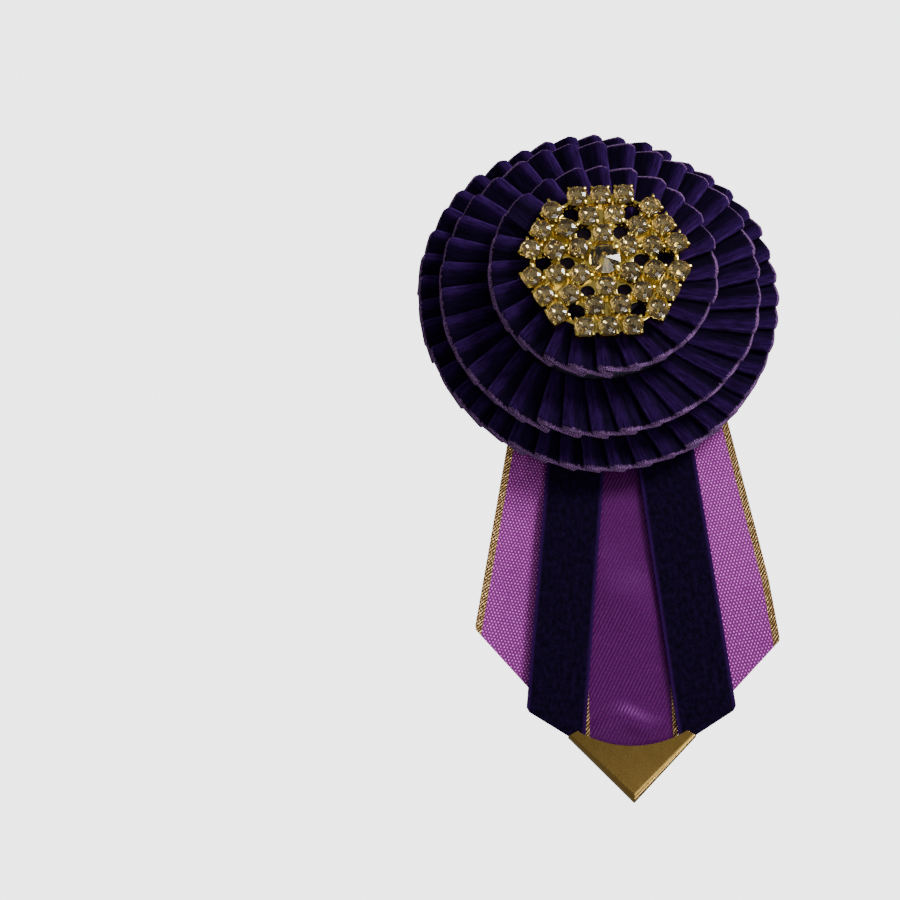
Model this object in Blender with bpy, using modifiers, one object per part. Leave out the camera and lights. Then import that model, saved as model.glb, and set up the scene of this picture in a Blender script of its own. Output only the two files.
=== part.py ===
"""Award rosette: three tiers of pleated velvet ribbon, a crystal brooch, five ribbon tails and a brass tip.

Metres, +Z up. The rosette's front faces -Y, the tails hang down -Z, and the origin is the middle of the
felt's rear face, where the rosette lies against whatever it is pinned to.
"""
import math

import bmesh
import bpy
from mathutils import Vector

GAP = 0.0003  # clearance between pieces that touch

# Felt back and card. Distances from the rear face forward are depths, and a depth d lies at y = -d.
FELT_RADIUS = 0.0245
FELT_THICKNESS = 0.0012
CARD_RADIUS = 0.0240
CARD_FRONT_DEPTH = 0.0049
TAIL_SLOT_TOP = -0.0140  # the card is thinned below this height to let the tails in
TAIL_SLOT_DEPTH = 0.0039

# Pads that hold the tiers apart: outside radius, rear depth, front depth
LOWER_PAD = (0.0202, 0.0052, 0.0092)
UPPER_PAD = (0.0162, 0.0095, 0.0163)
BROOCH_PAD = (0.0082, 0.0166, 0.0207)
SHANK_RADIUS = 0.0014
SHANK_HOLE_RADIUS = 0.0018

# Pleated tiers: pleats, inner radius, rim radius, rear and front depth at the inner edge, then at the rim
OUTER_TIER = (43, 0.0205, 0.0315, 0.0052, 0.0074, 0.0063, 0.0085)
MIDDLE_TIER = (34, 0.0165, 0.0275, 0.0095, 0.0117, 0.0120, 0.0142)
INNER_TIER = (24, 0.0085, 0.0191, 0.0166, 0.0186, 0.0186, 0.0206)
FOLD_RISE = 0.0008  # how far each free fold stands in front of the flap beside it
FLAP_SHARE = 0.86  # share of each pleat's pitch that its flap slopes over

# Brooch: six sectors of six small crystals round a large one
BROOCH_TURN = math.radians(1.4)
BROOCH_LIFT = 0.0005  # the brooch sits this far above the tiers' centre
SECTORS = 6
SECTOR_CRYSTALS = ((0.00475, 0.0), (0.0081, -0.00215), (0.0081, 0.00215),
                   (0.01175, -0.0039), (0.01175, 0.0), (0.01175, 0.0039))  # outwards, sideways
CRYSTAL_RADIUS = 0.00157
CENTRE_CRYSTAL_RADIUS = 0.00245
CUP_WALL = 0.00022
CUP_CLEARANCE = 0.00010
PLATE_CORNER = (0.0124, 0.0041)  # outwards, sideways
PLATE_OPENINGS = ((0.0061, 0.00105), (0.0101, 0.0012))  # reach between two sectors, radius
PLATE_DEPTHS = (0.0210, 0.0217)
CUP_FRONT_DEPTH = 0.0231
CENTRE_CUP_FRONT_DEPTH = 0.0234
SEAT_DEPTH_SHARE = 0.93
CRYSTAL_PROFILE = ((0.0, -0.45), (0.55, -0.45), (1.0, -0.1), (1.0, 0.0), (0.3, 0.75), (0.0, 0.75))
BROOCH_SIDES = 8

# Brooch pin on the felt
PIN_HEIGHT = 0.0090
PIN_DEPTH = -0.0034  # the needle's axis stands behind the felt
BAR_HALF_LENGTH = 0.0160
BAR_HALF_WIDTH = 0.0026
BAR_DEPTHS = (0.0004, 0.0012)  # the bar lies in a window in the felt, against the card
STITCH_HOLES = (-0.0060, 0.0, 0.0060)  # where the bar is sewn to the card
STITCH_HOLE_RADIUS = 0.0007
HINGE_X = 0.0135
CATCH_X = -0.0124
NEEDLE_RADIUS = 0.00045
NEEDLE_POINT_X = -0.0148
RIVET_RADIUS = 0.00045
RIVET_HEAD_RADIUS = 0.0009
RIVET_HEAD_THICKNESS = 0.0004
PIVOT_HOLE_RADIUS = 0.00075
EYE_RADIUS = 0.0014
EYE_HALF_WIDTH = 0.0008
EAR_INNER = 0.0012
EAR_OUTER = 0.0018
CATCH_OUTER_RADIUS = 0.0019
CATCH_BORE_RADIUS = 0.00135
CATCH_HALF_LENGTH = 0.0012
CATCH_STEM_HALF_WIDTH = 0.0010
CATCH_STEM_REAR = 0.0018
SLEEVE_RADIUS = 0.00105
SLEEVE_BORE_RADIUS = 0.00078
SLEEVE_HALF_LENGTH = 0.0021
TAB_THICKNESS = 0.0006
TAB_REACH = 0.0030
CATCH_MOUTH = 0.0009  # half width of the catch's slot
NEEDLE_WAY = 0.0007  # half width of the sleeve's slot, which lets the needle out

# Tails, measured from their own centre line
TAIL_CENTRE_X = 0.0030
TAIL_TOP = -0.0265
SATIN_WIDTH = 0.0152
VELVET_WIDTH = 0.0100
SATIN_LEAN = math.radians(10.4)
VELVET_LEAN = math.radians(5.85)
SATIN_OUTER_TOP_X = 0.0196  # gold edge of a side satin at TAIL_TOP
VELVET_MIDDLE_TOP_X = 0.0076
SATIN_CORNER_X = 0.0255
SATIN_CORNER_HEIGHTS = {"left": -0.0573, "right": -0.0593}
VELVET_CORNER_HEIGHT = -0.0709
SIDE_SATIN_DEPTHS = (0.0015, 0.00185)
CENTRE_SATIN_DEPTHS = (0.00215, 0.0025)
VELVET_DEPTHS = (0.0028, 0.0036)

# Brass tip, folded from sheet
TIP_CORNER = (0.0104, -0.0755)
TIP_EAR = (0.0089, -0.0747)
TIP_POINT_HEIGHT = -0.0861
TIP_ARC_HEIGHT = -0.0771
TIP_DEPTHS = (0.0010, 0.0041)
TIP_WALL = 0.0005


def clear_scene():
    for obj in list(bpy.data.objects):
        bpy.data.objects.remove(obj, do_unlink=True)


def make_collection(name):
    collection = bpy.data.collections.new(name)
    bpy.context.scene.collection.children.link(collection)
    return collection


def make_material(name, colour, roughness, metallic=0.0):
    material = bpy.data.materials.new(name)
    material.use_nodes = True
    shader = material.node_tree.nodes["Principled BSDF"]
    shader.inputs["Base Color"].default_value = (*colour, 1.0)
    shader.inputs["Roughness"].default_value = roughness
    shader.inputs["Metallic"].default_value = metallic
    return material


def file_under(obj, name, collection, material=None):
    """Name an object, give it its material and move it to a collection."""
    obj.name = name
    obj.data.name = name
    for owner in list(obj.users_collection):
        owner.objects.unlink(obj)
    collection.objects.link(obj)
    if material:
        obj.data.materials.clear()
        obj.data.materials.append(material)
    return obj


def hide_cutter(cutter, name):
    file_under(cutter, name, cutters)
    cutter.hide_render = True
    cutter.display_type = "WIRE"
    return cutter


def box(low, high):
    """An axis-aligned block between two corners."""
    low, high = Vector(low), Vector(high)
    bpy.ops.mesh.primitive_cube_add(size=1.0, location=(low + high) / 2)
    block = bpy.context.object
    block.scale = high - low
    bpy.ops.object.transform_apply(location=False, rotation=False, scale=True)
    return block


def round_bar(radius, start, end, sides=12, end_radius=None):
    """A round bar or cone from start to end."""
    start, end = Vector(start), Vector(end)
    tip_radius = radius if end_radius is None else end_radius
    bpy.ops.mesh.primitive_cone_add(vertices=sides, radius1=radius, radius2=tip_radius,
                                    depth=(end - start).length, location=(start + end) / 2)
    bar = bpy.context.object
    bar.rotation_mode = "QUATERNION"
    bar.rotation_quaternion = (end - start).to_track_quat("Z", "Y")
    return bar


def disc(radius, rear_depth, front_depth, sides=64):
    return round_bar(radius, (0, -rear_depth, 0), (0, -front_depth, 0), sides)


def combine(target, tool, operation):
    """Cut or join with another solid and keep the result in the target's mesh."""
    modifier = target.modifiers.new(operation.title(), "BOOLEAN")
    modifier.operation = operation
    modifier.object = tool
    modifier.solver = "EXACT"
    bpy.context.view_layer.objects.active = target
    bpy.ops.object.modifier_apply(modifier=modifier.name)
    if operation == "DIFFERENCE":
        hide_cutter(tool, "cut_" + target.name)
    else:
        bpy.data.objects.remove(tool, do_unlink=True)
    return target


def joined(pieces):
    """One object from several, with their shells left as they are."""
    bpy.ops.object.select_all(action="DESELECT")
    for piece in pieces:
        piece.select_set(True)
    bpy.context.view_layer.objects.active = pieces[0]
    bpy.ops.object.join()
    return pieces[0]


def circle_points(middle, radius, sides):
    turn = 2 * math.pi / sides
    return [(middle[0] + radius * math.cos(i * turn), middle[1] + radius * math.sin(i * turn))
            for i in range(sides)]


def flat_plate(name, outlines, rear_depth, front_depth, collection, material=None, centre_x=TAIL_CENTRE_X):
    """A flat piece in the XZ plane: its outline first, then the outline of each hole."""
    curve = bpy.data.curves.new(name, "CURVE")
    curve.dimensions = "2D"
    curve.fill_mode = "BOTH"
    curve.extrude = (front_depth - rear_depth) / 2
    for outline in outlines:
        spline = curve.splines.new("POLY")
        spline.points.add(len(outline) - 1)
        for point, (across, height) in zip(spline.points, outline):
            point.co = (across, height, 0.0, 1.0)
        spline.use_cyclic_u = True
    plate = bpy.data.objects.new(name, curve)
    plate.location = (centre_x, -(rear_depth + front_depth) / 2, 0.0)
    plate.rotation_euler = (math.radians(90), 0.0, 0.0)
    bpy.context.scene.collection.objects.link(plate)
    return file_under(plate, name, collection, material)


def solid_from(curve_object):
    """A closed mesh in place of a curve object."""
    bpy.context.view_layer.update()
    evaluated = curve_object.evaluated_get(bpy.context.evaluated_depsgraph_get())
    mesh = bpy.data.meshes.new_from_object(evaluated)
    bm = bmesh.new()
    bm.from_mesh(mesh)
    bmesh.ops.remove_doubles(bm, verts=bm.verts, dist=0.000001)
    bm.to_mesh(mesh)
    bm.free()
    solid = bpy.data.objects.new(curve_object.name + "_solid", mesh)
    solid.matrix_world = curve_object.matrix_world.copy()
    bpy.context.scene.collection.objects.link(solid)
    bpy.data.objects.remove(curve_object, do_unlink=True)
    return solid


def felt_back():
    """Felt disc with a window for the pin's bar."""
    felt = disc(FELT_RADIUS, 0.0, FELT_THICKNESS)
    half_length, half_width = BAR_HALF_LENGTH + GAP, BAR_HALF_WIDTH + GAP
    window = box((-half_length, -FELT_THICKNESS - 0.001, PIN_HEIGHT - half_width),
                 (half_length, 0.001, PIN_HEIGHT + half_width))
    file_under(felt, "felt_back", rosette, materials["felt"])
    return combine(felt, window, "DIFFERENCE")


def backing_card():
    card = disc(CARD_RADIUS, FELT_THICKNESS + GAP, CARD_FRONT_DEPTH)
    file_under(card, "backing_card", rosette, materials["card"])
    reach = FELT_RADIUS + 0.005
    slot = box((-reach, -TAIL_SLOT_DEPTH, -reach), (reach, 0.001, TAIL_SLOT_TOP))
    return combine(card, slot, "DIFFERENCE")


def pads():
    file_under(disc(*LOWER_PAD), "lower_pad", rosette, materials["foam"])
    file_under(disc(*UPPER_PAD), "upper_pad", rosette, materials["foam"])
    radius, rear, front = BROOCH_PAD
    pad = file_under(disc(radius, rear, front, 32), "brooch_pad", rosette, materials["felt"])
    hole = round_bar(SHANK_HOLE_RADIUS, (0, -rear + 0.001, BROOCH_LIFT), (0, -front - 0.001, BROOCH_LIFT), 16)
    combine(pad, hole, "DIFFERENCE")


def pleated_tier(name, tier):
    """A ring of knife pleats: a turned section whose flaps rise to a free fold at their clockwise end."""
    pleats, inner, rim, inner_rear, inner_front, rim_rear, rim_front = tier
    section = ((inner, -inner_rear), (rim, -rim_rear), (rim, -rim_front), (inner, -inner_front))
    bm = bmesh.new()
    corners = [bm.verts.new((radius, depth, 0.0)) for radius, depth in section]
    edges = [bm.edges.new((corners[i], corners[(i + 1) % len(corners)])) for i in range(len(corners))]
    bmesh.ops.spin(bm, geom=corners + edges, cent=(0, 0, 0), axis=(0, 1, 0),
                   angle=2 * math.pi, steps=2 * pleats, use_merge=True)
    bmesh.ops.remove_doubles(bm, verts=bm.verts, dist=0.00001)
    half_pitch = math.pi / pleats
    for vert in bm.verts:
        step = round(math.atan2(vert.co.z, vert.co.x) / half_pitch)
        radius = math.hypot(vert.co.x, vert.co.z)
        free_fold = step % 2 == 0
        angle = step * half_pitch if free_fold else (step - 1 + 2 * FLAP_SHARE) * half_pitch
        vert.co.x = radius * math.cos(angle)
        vert.co.z = radius * math.sin(angle)
        if free_fold:
            vert.co.y -= FOLD_RISE
    bmesh.ops.recalc_face_normals(bm, faces=bm.faces)
    mesh = bpy.data.meshes.new(name)
    bm.to_mesh(mesh)
    bm.free()
    ring = bpy.data.objects.new(name, mesh)
    bpy.context.scene.collection.objects.link(ring)
    return file_under(ring, name, rosette, materials["velvet"])


def crystal_places():
    """Name, x, z and radius of every crystal, the large one first."""
    places = [("crystal_centre", 0.0, BROOCH_LIFT, CENTRE_CRYSTAL_RADIUS)]
    for sector in range(SECTORS):
        outwards = math.radians(90) + BROOCH_TURN - sector * 2 * math.pi / SECTORS
        for number, (reach, side) in enumerate(SECTOR_CRYSTALS, 1):
            x = reach * math.cos(outwards) + side * math.sin(outwards)
            z = BROOCH_LIFT + reach * math.sin(outwards) - side * math.cos(outwards)
            places.append((f"crystal_{'abcdef'[sector]}{number}", x, z, CRYSTAL_RADIUS))
    return places


def cup_front(crystal_name):
    return CENTRE_CUP_FRONT_DEPTH if crystal_name == "crystal_centre" else CUP_FRONT_DEPTH


def crystals():
    """Each crystal is turned from a table, a crown, a girdle and a blunt pavilion."""
    for name, x, z, radius in crystal_places():
        mesh = bpy.data.meshes.new(name)
        bm = bmesh.new()
        points = [bm.verts.new((share * radius, 0.0, -rise * radius)) for share, rise in CRYSTAL_PROFILE]
        for first, second in zip(points, points[1:]):
            bm.edges.new((first, second))
        bm.to_mesh(mesh)
        bm.free()
        crystal = bpy.data.objects.new(name, mesh)
        bpy.context.scene.collection.objects.link(crystal)
        crystal.location = (x, -cup_front(name), z)
        crystal.rotation_euler = (math.radians(90), 0.0, 0.0)
        screw = crystal.modifiers.new("Turn", "SCREW")
        screw.steps = screw.render_steps = BROOCH_SIDES
        screw.use_merge_vertices = True
        screw.merge_threshold = 0.000001
        file_under(crystal, name, rosette, materials["crystal"])


def brooch_frame():
    """Gilt casting: a plate with openings between its sectors, a cup for every crystal, and a shank."""
    rear, front = PLATE_DEPTHS
    sector_turn = 2 * math.pi / SECTORS
    outline = []
    for sector in range(SECTORS):
        outwards = math.radians(90) + BROOCH_TURN + sector * sector_turn
        for side in (-1, 1):
            angle = outwards + side * math.atan2(PLATE_CORNER[1], PLATE_CORNER[0])
            reach = math.hypot(*PLATE_CORNER)
            outline.append((reach * math.cos(angle), BROOCH_LIFT + reach * math.sin(angle)))
    openings = []
    for sector in range(SECTORS):
        between = math.radians(90) + BROOCH_TURN + (sector + 0.5) * sector_turn
        for reach, radius in PLATE_OPENINGS:
            middle = reach * math.cos(between), BROOCH_LIFT + reach * math.sin(between)
            openings.append(circle_points(middle, radius, BROOCH_SIDES))
    frame = solid_from(flat_plate("plate", [outline] + openings, rear, front, cutters, centre_x=0.0))
    file_under(frame, "brooch_frame", rosette, materials["gilt"])
    cups, seats = [], []
    for name, x, z, radius in crystal_places():
        seat = radius + CUP_CLEARANCE
        face = cup_front(name)
        floor = face - seat * SEAT_DEPTH_SHARE
        cups.append(round_bar(seat + CUP_WALL, (x, -front + 0.0003, z), (x, -face, z), BROOCH_SIDES))
        seats.append(round_bar(seat, (x, -floor, z), (x, -face - 0.001, z), BROOCH_SIDES))
    combine(frame, joined(cups), "UNION")
    shank = round_bar(SHANK_RADIUS, (0, -BROOCH_PAD[1] - 0.0012, BROOCH_LIFT),
                      (0, -rear - 0.0001, BROOCH_LIFT), 12)
    combine(frame, shank, "UNION")
    return combine(frame, joined(seats), "DIFFERENCE")


def pin_base():
    """Bar with two hinge ears at one end, an open catch at the other and holes to sew it on by."""
    rear, front = BAR_DEPTHS
    bar = box((-BAR_HALF_LENGTH, -front, PIN_HEIGHT - BAR_HALF_WIDTH),
              (BAR_HALF_LENGTH, -rear, PIN_HEIGHT + BAR_HALF_WIDTH))
    file_under(bar, "pin_base", rosette, materials["pin_steel"])
    foot = -rear - 0.0002
    for hole_x in STITCH_HOLES:
        stitch_hole = round_bar(STITCH_HOLE_RADIUS, (hole_x, -front - 0.001, PIN_HEIGHT),
                                (hole_x, 0.001, PIN_HEIGHT))
        combine(bar, stitch_hole, "DIFFERENCE")
    for side in (-1, 1):
        near, far = sorted((PIN_HEIGHT + side * EAR_INNER, PIN_HEIGHT + side * EAR_OUTER))
        ear = box((HINGE_X - EYE_RADIUS, foot, near), (HINGE_X + EYE_RADIUS, -PIN_DEPTH + EYE_RADIUS, far))
        combine(bar, ear, "UNION")
    pivot = (HINGE_X, -PIN_DEPTH, PIN_HEIGHT - 0.004), (HINGE_X, -PIN_DEPTH, PIN_HEIGHT + 0.004)
    combine(bar, round_bar(PIVOT_HOLE_RADIUS, *pivot), "DIFFERENCE")
    catch_start, catch_end = CATCH_X - CATCH_HALF_LENGTH, CATCH_X + CATCH_HALF_LENGTH
    catch = round_bar(CATCH_OUTER_RADIUS, (catch_start, -PIN_DEPTH, PIN_HEIGHT),
                      (catch_end, -PIN_DEPTH, PIN_HEIGHT), 16)
    combine(bar, catch, "UNION")
    stem = box((catch_start, foot, PIN_HEIGHT - CATCH_STEM_HALF_WIDTH),
               (catch_end, CATCH_STEM_REAR, PIN_HEIGHT + CATCH_STEM_HALF_WIDTH))
    combine(bar, stem, "UNION")
    bore = round_bar(CATCH_BORE_RADIUS, (catch_start - 0.001, -PIN_DEPTH, PIN_HEIGHT),
                     (catch_end + 0.001, -PIN_DEPTH, PIN_HEIGHT), 16)
    combine(bar, bore, "DIFFERENCE")
    way = box((catch_start - 0.001, -PIN_DEPTH, PIN_HEIGHT - CATCH_MOUTH),
              (catch_end + 0.001, 0.008, PIN_HEIGHT + CATCH_MOUTH))
    return combine(bar, way, "DIFFERENCE")


def pin_needle():
    """Pointed wire that swings on the rivet."""
    eye = round_bar(EYE_RADIUS, (HINGE_X, -PIN_DEPTH, PIN_HEIGHT - EYE_HALF_WIDTH),
                    (HINGE_X, -PIN_DEPTH, PIN_HEIGHT + EYE_HALF_WIDTH))
    file_under(eye, "pin_needle", rosette, materials["pin_steel"])
    taper_x = NEEDLE_POINT_X + 0.003
    shaft = round_bar(NEEDLE_RADIUS, (HINGE_X - 0.001, -PIN_DEPTH, PIN_HEIGHT),
                      (taper_x, -PIN_DEPTH, PIN_HEIGHT), 8)
    combine(eye, shaft, "UNION")
    point = round_bar(NEEDLE_RADIUS, (taper_x + 0.0001, -PIN_DEPTH, PIN_HEIGHT),
                      (NEEDLE_POINT_X, -PIN_DEPTH, PIN_HEIGHT), 8, end_radius=0.00005)
    combine(eye, point, "UNION")
    hole = round_bar(PIVOT_HOLE_RADIUS, (HINGE_X, -PIN_DEPTH, PIN_HEIGHT - 0.002),
                     (HINGE_X, -PIN_DEPTH, PIN_HEIGHT + 0.002))
    return combine(eye, hole, "DIFFERENCE")


def pin_rivet():
    """Headed pin through both ears and the needle's eye."""
    reach = EAR_OUTER + GAP
    shank = round_bar(RIVET_RADIUS, (HINGE_X, -PIN_DEPTH, PIN_HEIGHT - reach - 0.0001),
                      (HINGE_X, -PIN_DEPTH, PIN_HEIGHT + reach + 0.0001))
    file_under(shank, "pin_rivet", rosette, materials["pin_steel"])
    for side in (-1, 1):
        near, far = PIN_HEIGHT + side * reach, PIN_HEIGHT + side * (reach + RIVET_HEAD_THICKNESS)
        head = round_bar(RIVET_HEAD_RADIUS, (HINGE_X, -PIN_DEPTH, near), (HINGE_X, -PIN_DEPTH, far))
        combine(shank, head, "UNION")


def safety_catch():
    """Slotted sleeve that turns inside the catch and shuts the needle in, with a thumb tab."""
    start, end = CATCH_X - SLEEVE_HALF_LENGTH, CATCH_X + SLEEVE_HALF_LENGTH
    sleeve = round_bar(SLEEVE_RADIUS, (start, -PIN_DEPTH, PIN_HEIGHT), (end, -PIN_DEPTH, PIN_HEIGHT), 16)
    file_under(sleeve, "safety_catch", rosette, materials["pin_steel"])
    tab = box((end - TAB_THICKNESS, -PIN_DEPTH - TAB_THICKNESS, PIN_HEIGHT + SLEEVE_RADIUS * 0.85),
              (end, -PIN_DEPTH + TAB_THICKNESS, PIN_HEIGHT + TAB_REACH))
    combine(sleeve, tab, "UNION")
    bore = round_bar(SLEEVE_BORE_RADIUS, (start - 0.001, -PIN_DEPTH, PIN_HEIGHT),
                     (end + 0.001, -PIN_DEPTH, PIN_HEIGHT), 16)
    combine(sleeve, bore, "DIFFERENCE")
    way = box((start - 0.001, -PIN_DEPTH, PIN_HEIGHT - NEEDLE_WAY),
              (end + 0.001, 0.008, PIN_HEIGHT + NEEDLE_WAY))
    return combine(sleeve, way, "DIFFERENCE")


def mirrored(outline, side):
    return [(side * across, height) for across, height in outline]


def side_satins():
    """Side ribbons leaning outwards, each cut to a slope that runs on towards the tip."""
    lean = math.tan(SATIN_LEAN)
    inner_top = SATIN_OUTER_TOP_X - SATIN_WIDTH / math.cos(SATIN_LEAN)
    for side, direction in (("left", -1), ("right", 1)):
        corner_z = SATIN_CORNER_HEIGHTS[side]
        slope = (corner_z - TIP_POINT_HEIGHT) / SATIN_CORNER_X
        inner_z = (TIP_POINT_HEIGHT + slope * (inner_top + lean * TAIL_TOP)) / (1 + slope * lean)
        inner_x = inner_top + lean * (TAIL_TOP - inner_z)
        outline = [(inner_top, TAIL_TOP), (SATIN_OUTER_TOP_X, TAIL_TOP), (SATIN_CORNER_X, corner_z),
                   (inner_x, inner_z)]
        flat_plate("tail_satin_" + side, [mirrored(outline, direction)], *SIDE_SATIN_DEPTHS, rosette,
                   materials["satin_back"])


def velvet_tails():
    """Velvet ribbons leaning outwards, their ends cut to clear the tip."""
    lean = math.tan(VELVET_LEAN)
    half = VELVET_WIDTH / 2 / math.cos(VELVET_LEAN)

    def at(side_of_middle, height):
        return VELVET_MIDDLE_TOP_X + side_of_middle * half + lean * (TAIL_TOP - height)

    ear_x, ear_z = TIP_EAR
    corner_x, corner_z = TIP_CORNER
    outline = [(at(-1, TAIL_TOP), TAIL_TOP), (at(1, TAIL_TOP), TAIL_TOP),
               (at(1, VELVET_CORNER_HEIGHT), VELVET_CORNER_HEIGHT),
               (corner_x + 0.0006, corner_z + 0.0005), (ear_x, ear_z + 0.0004),
               (at(-1, ear_z), ear_z + 0.0004)]
    for name, side in (("tail_velvet_left", -1), ("tail_velvet_right", 1)):
        flat_plate(name, [mirrored(outline, side)], *VELVET_DEPTHS, rosette, materials["velvet"])


def centre_satin():
    """Middle ribbon, folded to a point inside the tip."""
    half = SATIN_WIDTH / 2
    slope = (TIP_CORNER[1] - TIP_POINT_HEIGHT) / TIP_CORNER[0]
    inside = TIP_POINT_HEIGHT + (TIP_WALL + GAP) * math.hypot(1.0, slope)
    outline = [(-half, TAIL_TOP), (half, TAIL_TOP), (half, inside + slope * half), (0.0, inside),
               (-half, inside + slope * half)]
    flat_plate("tail_satin_centre", [outline], *CENTRE_SATIN_DEPTHS, rosette, materials["satin"])


def tip():
    """Sheet brass folded round the tails' end, open at the top, with a hollowed front edge."""
    ear_x, ear_z = TIP_EAR
    sagitta = ear_z - TIP_ARC_HEIGHT
    arc_radius = (ear_x ** 2 + sagitta ** 2) / (2 * sagitta)
    arc = []
    for number in range(11):
        across = ear_x * (1 - number / 5)
        arc.append((across, TIP_ARC_HEIGHT + arc_radius - math.sqrt(arc_radius ** 2 - across ** 2)))
    corner_x, corner_z = TIP_CORNER
    outline = [(-corner_x, corner_z), (0.0, TIP_POINT_HEIGHT), (corner_x, corner_z)] + arc
    shell = solid_from(flat_plate("tip_outline", [outline], *TIP_DEPTHS, cutters))
    slope = (corner_z - TIP_POINT_HEIGHT) / corner_x
    inside = TIP_POINT_HEIGHT + TIP_WALL * math.hypot(1.0, slope)
    half = corner_x - TIP_WALL
    open_top = -0.070
    pocket = [(-half, open_top), (-half, inside + slope * half), (0.0, inside),
              (half, inside + slope * half), (half, open_top)]
    rear, front = TIP_DEPTHS
    cutter = solid_from(flat_plate("tip_pocket", [pocket], rear + TIP_WALL, front - TIP_WALL, cutters))
    file_under(shell, "tail_tip", rosette, materials["brass"])
    combine(shell, cutter, "DIFFERENCE")


clear_scene()
rosette = make_collection("award_rosette")
cutters = make_collection("cutters")
materials = {
    "felt": make_material("felt", (0.012, 0.010, 0.020), 0.95),
    "card": make_material("card", (0.50, 0.44, 0.36), 0.85),
    "foam": make_material("foam", (0.06, 0.03, 0.10), 0.90),
    "velvet": make_material("velvet", (0.020, 0.006, 0.060), 0.90),
    "satin": make_material("satin", (0.22, 0.015, 0.25), 0.35),
    "satin_back": make_material("satin_back", (0.40, 0.10, 0.42), 0.60),
    "gilt": make_material("gilt", (0.75, 0.52, 0.12), 0.25, 1.0),
    "crystal": make_material("crystal", (0.85, 0.80, 0.70), 0.05),
    "pin_steel": make_material("pin_steel", (0.65, 0.65, 0.67), 0.30, 1.0),
    "brass": make_material("brass", (0.55, 0.42, 0.16), 0.30, 1.0),
}

felt_back()
backing_card()
pads()
for tier_name, tier_sizes in (("outer_pleats", OUTER_TIER), ("middle_pleats", MIDDLE_TIER),
                              ("inner_pleats", INNER_TIER)):
    pleated_tier(tier_name, tier_sizes)
brooch_frame()
crystals()
pin_base()
pin_needle()
pin_rivet()
safety_catch()
side_satins()
centre_satin()
velvet_tails()
tip()
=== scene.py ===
import random
from math import atan2, cos, degrees, exp, hypot, pi, radians, sin, tan

import bmesh
import bpy
from mathutils import Matrix, Vector


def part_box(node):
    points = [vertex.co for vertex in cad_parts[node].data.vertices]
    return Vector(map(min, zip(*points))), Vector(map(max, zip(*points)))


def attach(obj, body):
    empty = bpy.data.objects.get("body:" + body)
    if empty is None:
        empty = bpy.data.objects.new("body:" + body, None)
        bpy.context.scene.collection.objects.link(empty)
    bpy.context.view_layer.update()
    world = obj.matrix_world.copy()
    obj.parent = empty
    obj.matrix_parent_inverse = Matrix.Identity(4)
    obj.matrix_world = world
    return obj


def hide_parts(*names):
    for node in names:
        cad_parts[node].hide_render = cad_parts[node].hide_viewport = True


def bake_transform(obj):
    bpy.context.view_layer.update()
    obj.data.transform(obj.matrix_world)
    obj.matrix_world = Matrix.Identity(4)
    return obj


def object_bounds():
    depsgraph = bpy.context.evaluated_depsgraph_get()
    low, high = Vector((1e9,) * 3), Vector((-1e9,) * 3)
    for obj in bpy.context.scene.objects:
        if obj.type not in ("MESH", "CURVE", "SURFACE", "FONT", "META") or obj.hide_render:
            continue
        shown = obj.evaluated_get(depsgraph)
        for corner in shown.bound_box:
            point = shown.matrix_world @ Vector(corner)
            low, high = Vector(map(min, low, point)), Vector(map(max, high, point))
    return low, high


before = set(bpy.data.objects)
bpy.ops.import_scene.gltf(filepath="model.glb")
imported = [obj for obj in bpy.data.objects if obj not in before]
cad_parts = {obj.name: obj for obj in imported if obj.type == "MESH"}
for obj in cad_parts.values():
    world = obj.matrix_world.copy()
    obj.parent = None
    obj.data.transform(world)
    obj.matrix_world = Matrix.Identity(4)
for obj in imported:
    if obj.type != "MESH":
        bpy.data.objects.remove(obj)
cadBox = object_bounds()
mm = 0.001
print("frame loaded,", len(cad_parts), "nodes")


def nodeBox(node):
    low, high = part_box(node)
    return Vector(low), Vector(high)


def clearSelection():
    if bpy.context.object and bpy.context.object.mode != "OBJECT":
        bpy.ops.object.mode_set(mode="OBJECT")
    bpy.ops.object.select_all(action="DESELECT")


def useOnly(piece):
    clearSelection()
    piece.select_set(True)
    bpy.context.view_layer.objects.active = piece


def applyPlace():
    bpy.ops.object.transform_apply(location=True, rotation=True, scale=True)


def addToScene(thing):
    bpy.context.scene.collection.objects.link(thing)


def settle(piece, name):  # put its place into the mesh and name it
    useOnly(piece)
    applyPlace()
    piece.name = name
    piece.data.name = name
    return piece


def applyModifier(piece, kind, **settings):
    useOnly(piece)
    modifier = piece.modifiers.new(kind.title(), kind)
    for key, value in settings.items():
        setattr(modifier, key, value)
    bpy.ops.object.modifier_apply(modifier=modifier.name)


def cutAway(piece, cutter):
    applyModifier(piece, "BOOLEAN", operation="DIFFERENCE", object=cutter, solver="EXACT")
    bpy.data.objects.remove(cutter, do_unlink=True)


def editAll(piece):
    useOnly(piece)
    bpy.ops.object.mode_set(mode="EDIT")
    bpy.ops.mesh.select_all(action="SELECT")


def tidyFaces(piece):  # merge doubles and split large flat faces after a cut
    editAll(piece)
    bpy.ops.mesh.remove_doubles(threshold=0.002)
    bpy.ops.mesh.quads_convert_to_tris()
    leaveEdit()


def smoothBy(piece, degrees):
    useOnly(piece)
    bpy.ops.object.shade_smooth_by_angle(angle=radians(degrees))


def selectParts(piece, kind, test):  # leaves the piece in edit mode with the parts that pass the test
    useOnly(piece)
    bpy.ops.object.mode_set(mode="EDIT")
    bpy.ops.mesh.select_mode(type=kind)
    bpy.ops.mesh.select_all(action="DESELECT")
    bm = bmesh.from_edit_mesh(piece.data)
    for part in bm.faces if kind == "FACE" else bm.edges:
        part.select_set(bool(test(part)))
    if kind == "FACE":
        bm.select_flush(True)
    bmesh.update_edit_mesh(piece.data)


def leaveEdit():
    bpy.ops.object.mode_set(mode="OBJECT")


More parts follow.
